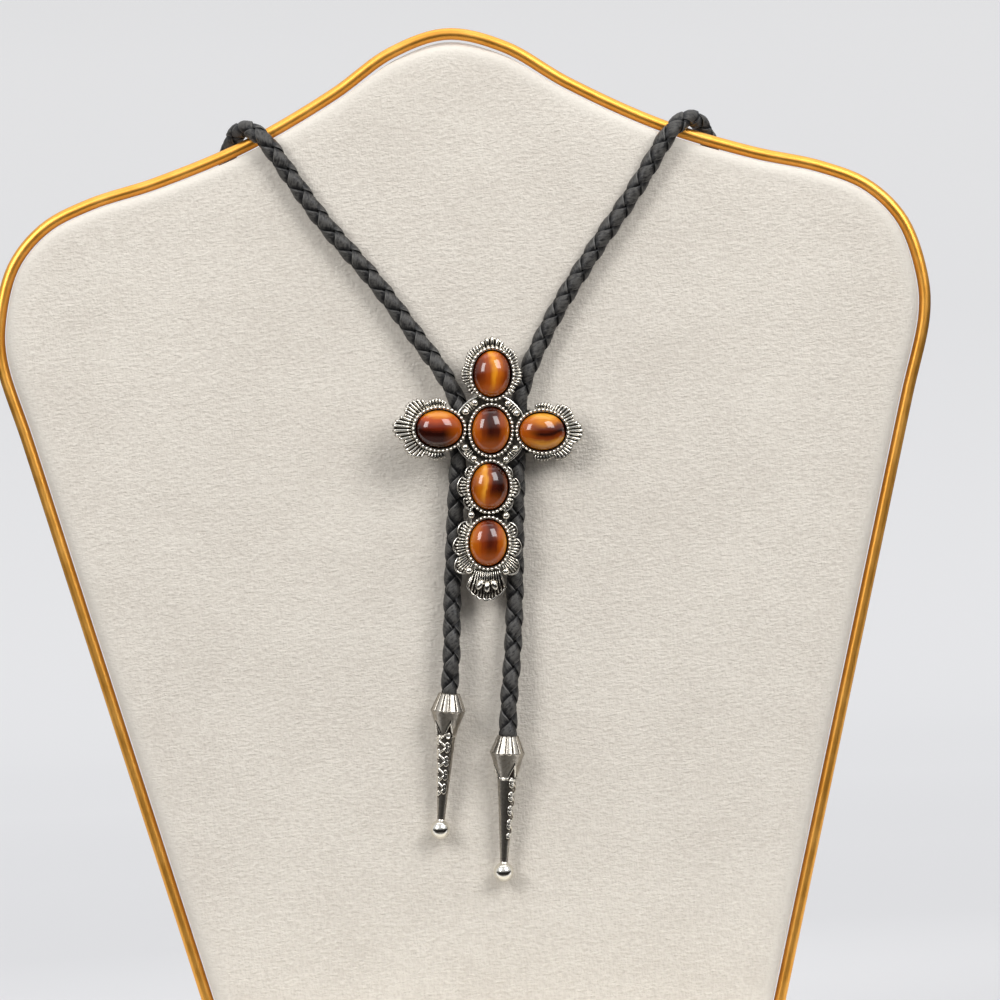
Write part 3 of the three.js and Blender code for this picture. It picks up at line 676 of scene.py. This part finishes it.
def loaf(heap, start, end, widths, top=RIB_TOP):
    """A rounded ridge from start to end, rising out of the plate."""
    start, end = np.array(start, float), np.array(end, float)
    along = unit(end - start)
    across = np.array((-along[1], along[0]))
    share = (1 - np.cos(np.linspace(0, math.pi, LOAF_STEPS + 1)))[:, None] / 2
    angles = np.linspace(0, math.pi, LOAF_ARC)
    swell = np.sqrt(np.maximum(1 - np.abs(2 * share - 1) ** 6, 0.0004))
    aside = (widths[0] + (widths[1] - widths[0]) * share) / 2 * swell * np.cos(angles)
    rise = np.sin(angles) ** 0.8 * swell
    flat = start + (end - start) * share[..., None] + across * aside[..., None]
    points = np.dstack([flat, RIB_BASE + (top - RIB_BASE) * rise]).reshape(-1, 3)
    heap.add(points, grid_faces(LOAF_STEPS + 1, LOAF_ARC, around=False), 0.15 + 0.85 * rise.reshape(-1))


def ball(heap, centre, size, lean=0, sides=20, rows=14, low=0.0):
    """A rounded grain of the given width, length and height."""
    polar, turn = np.meshgrid(np.linspace(0, math.pi, rows + 1), full_turn(sides), indexing="ij")
    x, y = size[0] / 2 * np.sin(polar) * np.cos(turn), size[1] / 2 * np.sin(polar) * np.sin(turn)
    points = centre + np.dstack([x * math.cos(lean) - y * math.sin(lean),
                                 x * math.sin(lean) + y * math.cos(lean), size[2] / 2 * np.cos(polar)])
    relief = low + (1 - low) * (0.5 + 0.75 * np.cos(polar))
    heap.add(points.reshape(-1, 3), grid_faces(rows + 1, sides), relief.reshape(-1))


def plate(heap, outline, face=0.1, lip=0.45):
    """A flat piece with its upper edge rounded off. Its lip is tumbled bright, and its face is darker."""
    outline = np.array(outline, float)
    inwards = unit(outline.mean(0) - outline)
    levels = [(0, 0, 0.5), (0, PLATE - BEVEL, 0.8), (BEVEL * 0.4, PLATE - BEVEL * 0.3, 1),
              (BEVEL, PLATE, 1), (lip, PLATE, 0.8), (lip + 0.12, PLATE - 0.08, face)]
    rings = [np.c_[outline + inwards * inset, np.full(len(outline), height)] for inset, height, _ in levels]
    heap.rings(rings, [[shade] for *_, shade in levels])


def fan(heap, cup, start, end, reach, ribs, mirror):
    """A plate and its ribs. On the arms the ribs end at the edge, and on the stem a plain lip is left."""
    plain_lip, hidden = (0.55, 0) if cup in ("stem", "foot") else (0.02, 0.4)
    x, y, points_to, _ = CUPS[cup]
    centre = np.array((x, y))

    def bearing(share):
        return math.radians(points_to + mirror * (start - 0.5 + (end - start + 1) * share))

    def out(share):
        bulge = 0.6 + 0.4 * math.sin(math.pi * share) ** 0.8
        return cup_radius(cup, bearing(share)) + reach * FAN_REACH * bulge

    def spoke(a, r):
        return centre + r * np.array((math.cos(a), math.sin(a)))

    shares = np.linspace(0, 1, 4 * ribs + 1)
    edge = [spoke(bearing(s), out(s) - hidden) for s in shares]
    inner = [spoke(bearing(s), cup_radius(cup, bearing(s)) - 0.4) for s in shares[::-1]]
    plate(heap, edge + inner, 0.12, 0.3)
    for i in range(ribs):
        share = (i + 0.5) / ribs
        a = bearing(share)
        first, last = cup_radius(cup, a) - 0.25, out(share) - plain_lip
        pitch = math.radians((end - start) / ribs)
        widths = (RIB_SHARE * pitch * first, RIB_SHARE * pitch * last)
        loaf(heap, spoke(a, first), spoke(a, last), widths)


def cup_and_beads(heap, cup):
    """The oval wall that holds a stone, and the row of beads on it."""
    # From the outside over the top to the seat: distance inwards, height, and relief
    profile = [(0.02, 0.2, 0.1), (0.02, 1.2, 0.25), (0.0, 2.2, 0.75), (0.1, 2.6, 0.6), (0.3, 2.72, 0.25),
               (0.55, 2.75, 0.1), (0.62, CUP_HEIGHT - 0.1, 0.3), (0.7, CUP_HEIGHT, 0.35),
               (0.78, CUP_HEIGHT - 0.15, 0.1), (0.8, 1.05, 0.0), (3.2, PLATE, 0.0)]
    heap.rings([oval(cup, inset, height) for inset, height, _ in profile], [[shade] for *_, shade in profile])
    track = oval(cup, 0.3, 2.9, 720)
    track = even_line(np.vstack([track, track[:1]]), 0.05)[0][:-1]
    for i in range(BEADS):
        ball(heap, track[int(i * len(track) / BEADS)], (0.92, 0.92, 0.95), sides=9, rows=6, low=0.1)


# %% [markdown]
# ## Cast the slide
# The parts of the casting overlap as wax parts do before they are joined, and they are one object.

# %% Build the slide
heap = Heap()
turns = full_turn(96)
plate(heap, np.c_[np.cos(turns), np.sin(turns)] * HUB_RADIUS, 0.2, 0.6)
waist = 0.8 * CUP_WIDE
corners = [(-waist, -1.25), (-waist, -1.75), (waist, -1.75), (waist, -1.25)]
plate(heap, [(across, share * STEP_UP) for across, share in corners])
for cup in CUPS:
    cup_and_beads(heap, cup)
    for start, end, reach, ribs, paired in FANS.get(cup, []):
        for mirror in (1, -1) if paired else (1,):
            fan(heap, cup, start, end, reach, ribs, mirror)
for bearing in (42, 47, 52):
    for turned in (bearing, -bearing, 180 - bearing, 180 + bearing):
        a = math.radians(turned)
        way = np.array((math.cos(a), math.sin(a)))
        loaf(heap, way * (HUB_RADIUS - 2.6), way * (HUB_RADIUS - 0.3), (0.45, 0.6), RIB_TOP + 0.1)
for cup, across, height in GRAINS:
    for side_of in (1, -1):
        spot = (CUPS[cup][0] + side_of * across * HUB_RADIUS, CUPS[cup][1] + height * HUB_RADIUS)
        ball(heap, (*spot, 2.0), (1.9, 1.9, 2.0))
print("slide points so far", len(heap.points))

# %% [markdown]
# ## The hanging shell
# The shell spreads downwards from the last cup. Its ribs stop short of a plain lip that is cut in five
# shallow lobes, and three drops lie on it.

# %% Build the shell
SHELL_REACH = 8.6
SHELL_HALF_WIDTH = 5.1
SHELL_RIBS = 13
SHELL_LOBES = 5
shell_top = CUPS["foot"][1] - CUP_LONG + CUP_WALL


def shell_reach(turn):
    lobe = abs(math.cos(turn * SHELL_LOBES * math.pi / 2))
    return SHELL_REACH * (1 - 0.4 * turn * turn) - (1 - lobe) * 0.4


def shell_point(turn, share):
    return (turn * SHELL_HALF_WIDTH * (0.6 + 0.4 * share), shell_top - share * shell_reach(turn))


edge = [shell_point(t, 1) for t in np.linspace(-1, 1, 61)]
plate(heap, edge + [shell_point(1, 0), shell_point(-1, 0)], 0.05, 0.5)
for i in range(SHELL_RIBS):
    turn = (2 * i + 1) / SHELL_RIBS - 1
    stop = 1 - 0.45 / shell_reach(turn)
    loaf(heap, shell_point(turn, 0.02), shell_point(turn, stop), (0.36, 0.6))
for across, down, lean in ((-0.21, 0.5, -25), (0, 0.56, 0), (0.21, 0.5, 25)):
    spot = (across * SHELL_REACH, shell_top - down * SHELL_REACH, RIB_TOP + 0.15)
    ball(heap, spot, (1.6, 2.9, 1.7), math.radians(lean))
slide = piece("cast_slide", heap, silver, heap.relief, slide_place)
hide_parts("slide")
print("slide faces", len(heap.faces))

# %% [markdown]
# ## Tiger's eye
# Tiger's eye is quartz grown through fine parallel fibres, cut as a low dome and polished to a glassy
# gloss. The fibres return light as a golden band across the dome, beside red-brown and nearly black bands,
# and one end glows where light passes through. Each stone is cut from another place, so one function takes
# the way its bands run, how they curve, and their colours.


# %% Tiger's eye material
def tigers_eye(name, across_bands, curve, glow_axis, way, seed, stops):
    made, tree = new_material("tiger's eye " + name)
    place = in_millimetres(tree)
    axes = dict(zip("xyz", add(tree, "SeparateXYZ", {"Vector": place}).node.outputs))
    along_bands, stretch = {"x": ("y", (0.14, 3, 1)), "y": ("x", (3, 0.14, 1))}[across_bands]
    moved = add(tree, "VectorMath", {0: place, 1: (seed, 0, 0)})
    waver = add(tree, "TexNoise", {"Vector": moved, "Scale": 0.2, "Detail": 2})
    fibres = add(tree, "TexNoise", {"Vector": in_millimetres(tree, stretch), "Scale": 1, "Detail": 2})
    bowed = add(tree, "Math", {0: axes[along_bands], 1: axes[along_bands]}, operation="MULTIPLY")
    band_place = axes[across_bands]
    for factor, amount in ((bowed, curve), (waver, 2.4), (fibres, 0.9)):
        shifted = {0: factor, 1: amount, 2: band_place}
        band_place = add(tree, "Math", shifted, operation="MULTIPLY_ADD")
    # The noise and the fibres shift the bands by this much on average
    centre, half_width = 1.65, STONE[0] / 2
    span = {"Value": band_place, "From Min": centre - half_width, "From Max": centre + half_width}
    share = add(tree, "MapRange", span)
    # The glow begins near the middle and is strongest at the end
    lit = {"Value": axes[glow_axis], "From Min": way * 0.4, "From Max": way * 5.6, "To Max": 0.85}
    glow = add(tree, "MapRange", lit, interpolation_type="SMOOTHSTEP")
    mixed = {"Factor": glow, "A": ramp(tree, share, stops, "EASE"), "B": colour("#b4570f")}
    body = add(tree, "Mix", mixed, "Result", data_type="RGBA")
    return finished(made, {"Base Color": body, "Roughness": 0.09, "IOR": 1.54})


# Way across the bands, their curve, the glowing end's axis and way, a shift of the noise, and the colours
# from left to right or from bottom to top
STONE_BANDS = {
    "top": ("x", 0.02, "y", -1, 3, [(0, "#43170a"), (0.2, "#6b2a0e"), (0.4, "#94400f"), (0.54, "#d98a1e"),
            (0.64, "#b85f12"), (0.82, "#7c330e"), (1, "#2f0f07")]),
    "centre": ("x", 0.01, "y", -1, 11, [(0, "#b96413"), (0.16, "#a34c10"), (0.3, "#66280d"),
               (0.46, "#331009"), (0.64, "#42170b"), (0.8, "#934210"), (1, "#bd6a16")]),
    "right": ("y", -0.05, "x", -1, 23, [(0, "#b8690f"), (0.14, "#d08a22"), (0.28, "#7c330e"),
              (0.42, "#2c0e08"), (0.56, "#5a1f0b"), (0.74, "#c2700f"), (0.88, "#dc9a2e"), (1, "#70300e")]),
    "left": ("y", -0.04, "x", 1, 37, [(0, "#4a2c12"), (0.16, "#3a150a"), (0.34, "#260b07"), (0.52, "#6b210b"),
             (0.7, "#a8420e"), (0.86, "#d08020"), (1, "#a9601a")]),
    "stem": ("x", 0.015, "y", -1, 41, [(0, "#8e4410"), (0.2, "#b0610f"), (0.36, "#dc9430"), (0.46, "#8e400e"),
             (0.58, "#42150a"), (0.8, "#260b07"), (1, "#6b300f")]),
    "foot": ("x", 0.01, "y", -1, 53, [(0, "#bd6a16"), (0.2, "#a9530f"), (0.34, "#7c300e"), (0.5, "#4a190b"),
             (0.64, "#5e220c"), (0.8, "#a8500f"), (1, "#c87a1c")]),
}

# %% [markdown]
# ## Cut the stones
# A cabochon has a low straight girdle and a full, even dome, a little fuller than a half ellipsoid.

# %% Build the stones
STONE_RINGS = 24
STONE_SIDES = 72
GIRDLE = 0.8
turns = full_turn(STONE_SIDES)
for cup, (x, y, _, across) in CUPS.items():
    a, b = (STONE[1] / 2, STONE[0] / 2) if across else (STONE[0] / 2, STONE[1] / 2)
    flat_oval = np.c_[a * np.cos(turns), b * np.sin(turns)]
    # The underside's chamfer, then the girdle and the dome: width as a share, and height
    levels = [(0.9, 0), (0.97, 0)]
    for rise in np.linspace(0, math.pi / 2, STONE_RINGS + 1):
        levels.append((max(math.cos(rise), 0.004) ** 0.92, GIRDLE + (STONE[2] - GIRDLE) * math.sin(rise)))
    rings = [np.c_[flat_oval * wide, np.full(STONE_SIDES, height)] for wide, height in levels]
    heap = Heap()
    heap.rings(rings)
    middle_of_cup = slide_place @ Matrix.Translation(Vector((x, y, PLATE + 0.3)) * MM)
    stone = piece("cabochon_" + cup, heap, tigers_eye(cup, *STONE_BANDS[cup]),
                  place=middle_of_cup)
    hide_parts("stone_" + cup)
print("stones", len(CUPS), "of", STONE, "mm")

# %% [markdown]
# ## The tips
# Each tip has a fluted collar, a cup with pointed petals, a stem with scrolls in relief on one side, and a
# ball. Its body is turned from a profile in many fine steps, and the scrolls are raised from it by the
# distance of each point to a drawn line.

# %% Tip measures and relief
TIP_LENGTH = 37
TIP_COLLAR = 4.45
TIP_BALL = 2.5
TIP_PROFILE = [(0, 0.6), (0.118, 1), (0.13, 0.97), (0.28, 0.56), (0.43, 0.47), (0.7, 0.33), (0.86, 0.25)]
# Half of one S-scroll, from its middle to its eye: millimetres across and down
SCROLL_HALF = [(0.5, 0.35), (1.05, 0.5), (1.42, 0.12), (1.25, -0.36), (0.82, -0.42), (0.72, -0.08),
               (0.98, 0.05)]
SCROLL = [(-x, -y) for x, y in SCROLL_HALF[::-1]] + [(0, 0)] + SCROLL_HALF
SCROLL_SLOPE = 0.3
SCROLL_ROWS = 9
SCROLL_TOP = 0.295
SCROLL_STEP = 0.0475
DEGREES_PER_MM = 34
SCROLLS = []
for row in range(SCROLL_ROWS):
    mirror = 1 if row % 2 else -1
    scroll_middle = SCROLL_TOP + SCROLL_STEP * row
    SCROLLS.append([(scroll_middle + (y + SCROLL_SLOPE * x) / TIP_LENGTH, mirror * x * DEGREES_PER_MM)
                    for x, y in SCROLL])


def tip_radius(down):
    return TIP_COLLAR * np.interp(down, *zip(*TIP_PROFILE))


def line_distance(lines, down, turn):
    """The distance on the surface, in millimetres, from each point to the nearest drawn line."""
    nearest = np.full(down.shape, 9.0)
    scale = np.radians(1) * tip_radius(down)
    for line in lines:
        fine = smooth_line([(d, t, 0) for d, t in line], 4)[:, :2]
        for (d0, t0), (d1, t1) in zip(fine, fine[1:]):
            ax, ay = ((t0 - turn + 180) % 360 - 180) * scale, (d0 - down) * TIP_LENGTH
            ux, uy = (t1 - t0) * scale, (d1 - d0) * TIP_LENGTH
            share = np.clip(-(ax * ux + ay * uy) / (ux * ux + uy * uy + 1e-9), 0, 1)
            nearest = np.minimum(nearest, np.hypot(ax + share * ux, ay + share * uy))
    return nearest


# %% Build the tips
FLUTES = 14
SLOT_BEARING = 36
SLOT_HALF = 26
TIP_SIDES = 180
BALL_ROWS = 28
TIP_GAP = 0.3


def build_tip(name, node, end, following, facing):
    upwards = unit(np.subtract(following, end))
    downs = np.r_[np.linspace(0, 0.1, 10), np.linspace(0.104, 0.3, 64), np.linspace(0.303, 0.86, 170)]
    turn = np.linspace(0, 360, TIP_SIDES, endpoint=False)
    down, angle = np.meshgrid(downs, turn, indexing="ij")
    radius = tip_radius(down)
    # Collar: flat bars with narrow grooves between them, and a scalloped lower edge
    flute = np.abs(2 * ((angle - facing) % (360 / FLUTES)) * FLUTES / 360 - 1)
    groove = np.clip((flute - 0.7) / 0.3, 0, 1)
    collar = down <= 0.126 - 0.014 * flute**2
    relief = np.where(collar, 0.5 - 0.5 * groove, 0.45)
    radius = np.where(collar, np.maximum(radius, TIP_COLLAR * 0.6) * (1 - 0.06 * groove), radius - 0.12)
    # Cup: two narrow and two broad petals with raised edges, and deep slots between their points
    bearing = np.abs((angle - facing + 180) % 360 - 180)
    to_slot = np.minimum(np.abs(bearing - SLOT_BEARING), np.abs(bearing - 180 + SLOT_BEARING))
    petal = 0.2 + 0.095 * np.clip(to_slot / SLOT_HALF, 0, 1) ** 0.9
    slant = np.where(to_slot < SLOT_HALF, 2.6, 1)
    to_edge = (petal - down) * TIP_LENGTH / slant
    on_cup = ~collar & (down < 0.3)
    ridge = np.exp(-((to_edge - 0.12) / 0.2) ** 2)
    below = on_cup & (to_edge < -0.05)
    radius = np.where(on_cup, radius + 0.22 * ridge - 0.25 * below, radius)
    relief = np.where(on_cup, np.where(below, 0.1, 0.45) + 0.6 * ridge, relief)
    # Stem: stacked scrolls on one side, smooth on the other
    on_stem = (down > 0.24) & (down < 0.74)
    distance = line_distance(SCROLLS, down, angle - facing)
    wire = np.clip(1 - (distance / 0.3) ** 2, 0, 1) ** 0.5
    near = np.clip(1.7 - distance / 0.45, 0, 1)
    radius = np.where(on_stem, radius + 0.28 * wire, radius)
    relief = np.where(on_stem, np.maximum(relief * (1 - 0.8 * near), wire), relief)
    across = np.radians(angle)
    rows = np.dstack([radius * np.sin(across), -down * TIP_LENGTH, radius * np.cos(across)])
    top = rows[:1] * (0.6, 1, 0.6)
    neck = math.asin(tip_radius(0.86) / TIP_BALL)
    polars = np.linspace(neck, math.pi - 0.01, BALL_ROWS)
    polar, across = np.meshgrid(polars, full_turn(TIP_SIDES), indexing="ij")
    wide = np.sin(polar)
    ball_rows = np.dstack([wide * np.sin(across), 1 + np.cos(polar), wide * np.cos(across)]) * TIP_BALL
    heap = Heap()
    shades = np.vstack([np.full((1, TIP_SIDES), 0.3), relief, np.ones((BALL_ROWS, TIP_SIDES))])
    heap.rings(np.vstack([top, rows, ball_rows - (0, TIP_LENGTH, 0)]), shades)
    spin = Vector((0, 1, 0)).rotation_difference(Vector(upwards)).to_matrix().to_4x4()
    spot = Vector(np.array(end) - TIP_GAP * upwards)
    tip = piece(name, heap, silver, heap.relief, Matrix.Translation(spot * MM) @ spin)
    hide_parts(node)
    return len(heap.faces)


print("tip faces", build_tip("left_point", "tip_left", CORD_LEFT[0], CORD_LEFT[1], -15),
      build_tip("right_point", "tip_right", CORD_RIGHT[-1], CORD_RIGHT[-2], 75))

# %% [markdown]
# ## The clip
# The clip behind the slide is plain bent sheet, so it keeps the frame's own mesh and only gets its finish:
# nickel over rolled brass, which shows faint lines along the sheet.


# %% Clip finish
def bright_nickel():
    made, tree = new_material("bright nickel plate")
    uneven = add(tree, "TexNoise", {"Vector": in_millimetres(tree, (0.2, 0.2, 4)), "Scale": 1})
    tone = ramp(tree, uneven, [(0.3, "#bdb8ae"), (0.7, "#d2cdc3")])
    return finished(made, {"Base Color": tone, "Metallic": 1, "Roughness": 0.3})


for material_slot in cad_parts["cord_clip"].material_slots:
    material_slot.material = bright_nickel()
print("clip slots", len(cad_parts["cord_clip"].material_slots))

# %% [markdown]
# ## Studio
# The photograph has soft, even light with one soft box to the right and one to the left, in front of pale
# paper. Metal shows what stands round it: bright above, a pale table edge below and a darker room at eye
# level, which draws the dark line along the rod and the dark band on the balls. So the set has two parts.
# The backdrop is a round bowl that only the camera sees, and it makes the ground pale from every side. The
# small table is what the object mirrors and what throws light back on it.


# %% Backdrop and table
ROOM_RADIUS = 2200
COVE = 800
ROOM_HEIGHT = 2000
ROOM_SIDES = 96
TABLE_X = (-600, 600)
TABLE_Y = (-60, 450)
FLOOR_GAP = 0.3
GLOW_REACH = 3200


def pale_paper(name, hex_value, glow=None):
    """Matt paper. It may also glow towards its far part, as paper that is lit from behind."""
    made, tree = new_material(name)
    inputs = {"Base Color": colour(hex_value), "Roughness": 0.9, "Specular IOR Level": 0.1}
    if glow:
        place = add(tree, "TexCoord", output="Object")
        away = add(tree, "VectorMath", {0: place}, "Value", operation="LENGTH")
        share = add(tree, "MapRange", {"Value": away, "From Max": GLOW_REACH * MM})
        inputs |= {"Emission Color": ramp(tree, share, glow), "Emission Strength": 1}
    return finished(made, inputs)


def stage(name, points, faces, material, seen_by):
    """A part of the set. It is left out of the rays that it would disturb."""
    made = new_object(name, points, faces, material)
    for rays in ("camera", "diffuse", "glossy", "transmission", "shadow"):
        setattr(made, "visible_" + rays, rays in seen_by)


profile = [(r, 0) for r in (1, 200, 600, 1200, ROOM_RADIUS)]
for a in np.linspace(0.1, math.pi / 2, 14):
    profile.append((ROOM_RADIUS + COVE * math.sin(a), COVE * (1 - math.cos(a))))
profile.append((ROOM_RADIUS + COVE, ROOM_HEIGHT))
turns = full_turn(ROOM_SIDES)
room_points = [(r * math.cos(a), r * math.sin(a), z - FLOOR_GAP) for r, z in profile for a in turns]
# Shares of GLOW_REACH from the middle, and how strongly the paper glows there
glow = [(0.19, "#000000"), (0.32, "#575757"), (0.51, "#7a7a7a"), (0.73, "#898989"), (0.88, "#979797"),
        (0.93, "#a6a6a6")]
stage("backdrop", room_points, grid_faces(len(profile), ROOM_SIDES),
      pale_paper("backdrop paper", "#d3d2d2", glow), ("camera",))
table_points = [(x, y, -2 * FLOOR_GAP) for y in TABLE_Y for x in TABLE_X]
stage("table", table_points, grid_faces(2, 2, around=False), pale_paper("table paper", "#dedddd"),
      ("diffuse", "glossy", "shadow"))
print("backdrop", 2 * (ROOM_RADIUS + COVE), "mm wide, table from", TABLE_Y[0], "to", TABLE_Y[1], "mm")


# %% Lights and room
def soft_box(name, spot, aim, size, power):
    """A rectangular light that faces the aim."""
    data = bpy.data.lights.new(name, "AREA")
    data.shape = "RECTANGLE"
    data.size, data.size_y = size[0] * MM, size[1] * MM
    data.energy = power
    made = bpy.data.objects.new(name, data)
    made.location = Vector(spot) * MM
    made.rotation_euler = (Vector(aim) - Vector(spot)).to_track_quat("-Z", "Y").to_euler()
    bpy.context.scene.collection.objects.link(made)


soft_box("key", (621, -759, 740), (0, 0, 160), (483, 621), 7.6)
soft_box("fill", (-690, -828, 670), (0, 0, 160), (420, 600), 7.6)
soft_box("sky", (0, 100, 1700), (0, 0, 100), (1800, 1400), 8.5)

world = bpy.data.worlds.new("room")
bpy.context.scene.world = world
world.use_nodes = True
tree = world.node_tree
tree.nodes.clear()
way = add(tree, "TexCoord", output="Generated")
way_up = add(tree, "SeparateXYZ", {"Vector": way}, "Z")
# 0 is straight down, 0.5 the horizon and 1 straight up
height = add(tree, "MapRange", {"Value": way_up, "From Min": -1.0})
room = ramp(tree, height, [(0.15, "#8c8a88"), (0.26, "#1c1a19"), (0.515, "#2c2a29"), (0.575, "#b4b6b9"),
                           (0.7, "#dcdee2")])
background = add(tree, "Background", {"Color": room, "Strength": 1.04})
add(tree, "OutputWorld", {"Surface": background})
